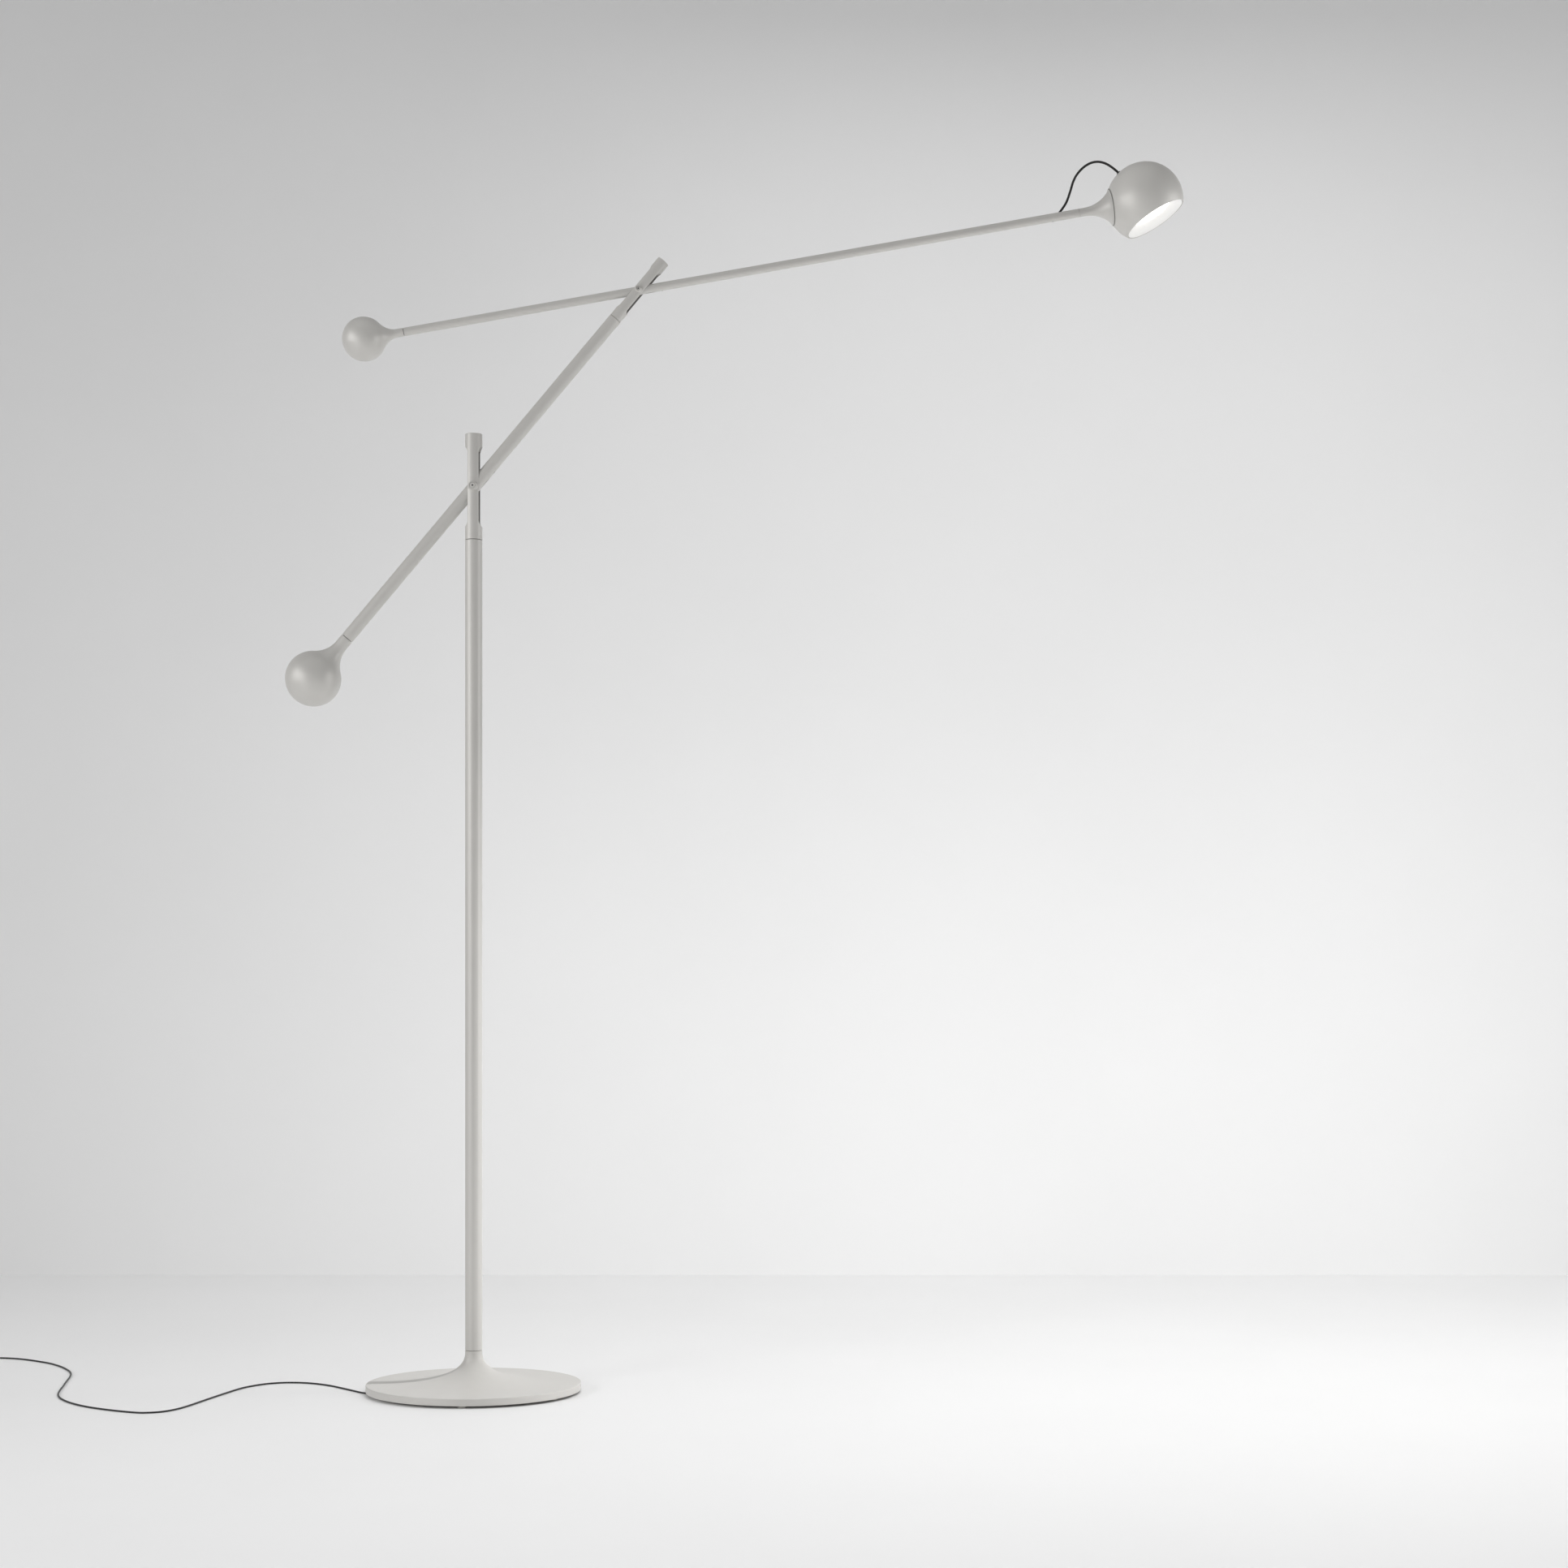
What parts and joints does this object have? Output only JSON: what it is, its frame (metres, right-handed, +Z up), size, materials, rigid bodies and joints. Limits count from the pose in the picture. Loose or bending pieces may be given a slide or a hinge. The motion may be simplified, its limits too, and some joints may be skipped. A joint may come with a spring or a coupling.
{
  "type": "floor lamp",
  "caption": "Counterweighted floor lamp: round trumpet-shaped base, slim pole, two tilting arm tubes in slotted forks with ball weights, and a ball-jointed spherical LED head.",
  "frame": {"origin": "on the floor at the centre of the round base, straight below the pole", "axes": "+Z up along the pole, +X from the pole toward the lamp head in the plane of the arms, +Y away from the viewer"},
  "size_m": [2.4226, 0.7154, 2.3028],
  "materials": {
    "satin_paint": "fine satin paint",
    "steel": "turned steel",
    "zinc": "zinc plated",
    "brass": "turned",
    "aluminium": "turned",
    "magnet": "nickel plated",
    "acetal": "smooth",
    "white_plastic": "smooth white",
    "opal": "opal diffuser",
    "foot": "pale rubber",
    "black_plastic": "fine matt",
    "cord_jacket": "smooth jacket",
    "braid": "braided sleeve",
    "board": "white solder mask"
  },
  "bodies": {
    "root": {"base_body": "satin_paint", "foot_1": "foot", "foot_2": "foot", "foot_3": "foot", "foot_4": "foot", "foot_5": "foot", "foot_6": "foot", "base_cover": "zinc", "threaded_nipple": "zinc", "anchor_nut": "zinc", "pole_foot_plug": "steel", "cord_relief": "black_plastic", "base_lead": "cord_jacket", "pole_tube": "satin_paint", "pole_lead": "cord_jacket", "swivel_bush": "acetal", "power_cord": "cord_jacket", "power_cord_coil": "cord_jacket", "cord_tie": "black_plastic", "cord_tail": "cord_jacket", "plug_body": "black_plastic", "plug_pin_1": "steel", "plug_pin_2": "steel"},
    "pole_head": {"pole_fork": "satin_paint", "swivel_ring": "steel", "lower_pivot_bolt": "steel", "lower_pivot_nut": "steel", "lower_washer": "zinc"},
    "lower_arm": {"lower_arm_tube": "satin_paint", "lower_pivot_core": "aluminium", "lower_pivot_bush": "brass", "lower_arm_grub": "steel", "lower_weight": "satin_paint", "lower_weight_stud": "steel", "lower_arm_lead": "braid", "upper_fork": "satin_paint", "upper_pivot_bolt": "steel", "upper_pivot_nut": "steel", "upper_washer": "zinc"},
    "upper_arm": {"upper_arm_tube": "satin_paint", "upper_pivot_core": "aluminium", "upper_pivot_bush": "brass", "upper_arm_grub": "steel", "upper_weight": "satin_paint", "upper_weight_stud": "steel", "upper_arm_lead": "braid", "flex_guide": "acetal", "guide_grub": "steel", "head_socket": "satin_paint", "socket_magnet": "magnet", "head_flex_lower": "braid"},
    "ball_ring": {"socket_ring": "acetal"},
    "head": {"head_shell": "satin_paint", "contact_plate": "zinc", "heat_sink": "aluminium", "led_board": "board", "reflector": "white_plastic", "diffuser": "opal", "head_gland": "black_plastic", "head_flex_upper": "braid"}
  },
  "joints": [
    {"name": "fork_swivel", "type": "hinge", "parent": "root", "child": "pole_head", "pos_m": [0, 0, 1.593], "axis": [0, 0, 1], "range_deg": [-160, 160]},
    {"name": "lower_arm_tilt", "type": "hinge", "parent": "pole_head", "child": "lower_arm", "pos_m": [0, 0, 1.692], "axis": [0, -1, 0], "range_deg": [-100, 14]},
    {"name": "upper_arm_tilt", "type": "hinge", "parent": "lower_arm", "child": "upper_arm", "pos_m": [0.30854, 0, 2.0597], "axis": [0, 1, 0], "range_deg": [-12, 112]},
    {"name": "head_swivel", "type": "hinge", "parent": "upper_arm", "child": "ball_ring", "pos_m": [1.25445, 0, 2.22649], "axis": [0.9848, 0, 0.1736], "range_deg": [-60, 60], "deforming": ["head_flex_lower"]},
    {"name": "head_tilt", "type": "hinge", "parent": "ball_ring", "child": "head", "pos_m": [1.25445, 0, 2.22649], "axis": [0.013, 0.9972, -0.0738], "range_deg": [-22, 22], "deforming": ["head_flex_upper"]}
  ]
}
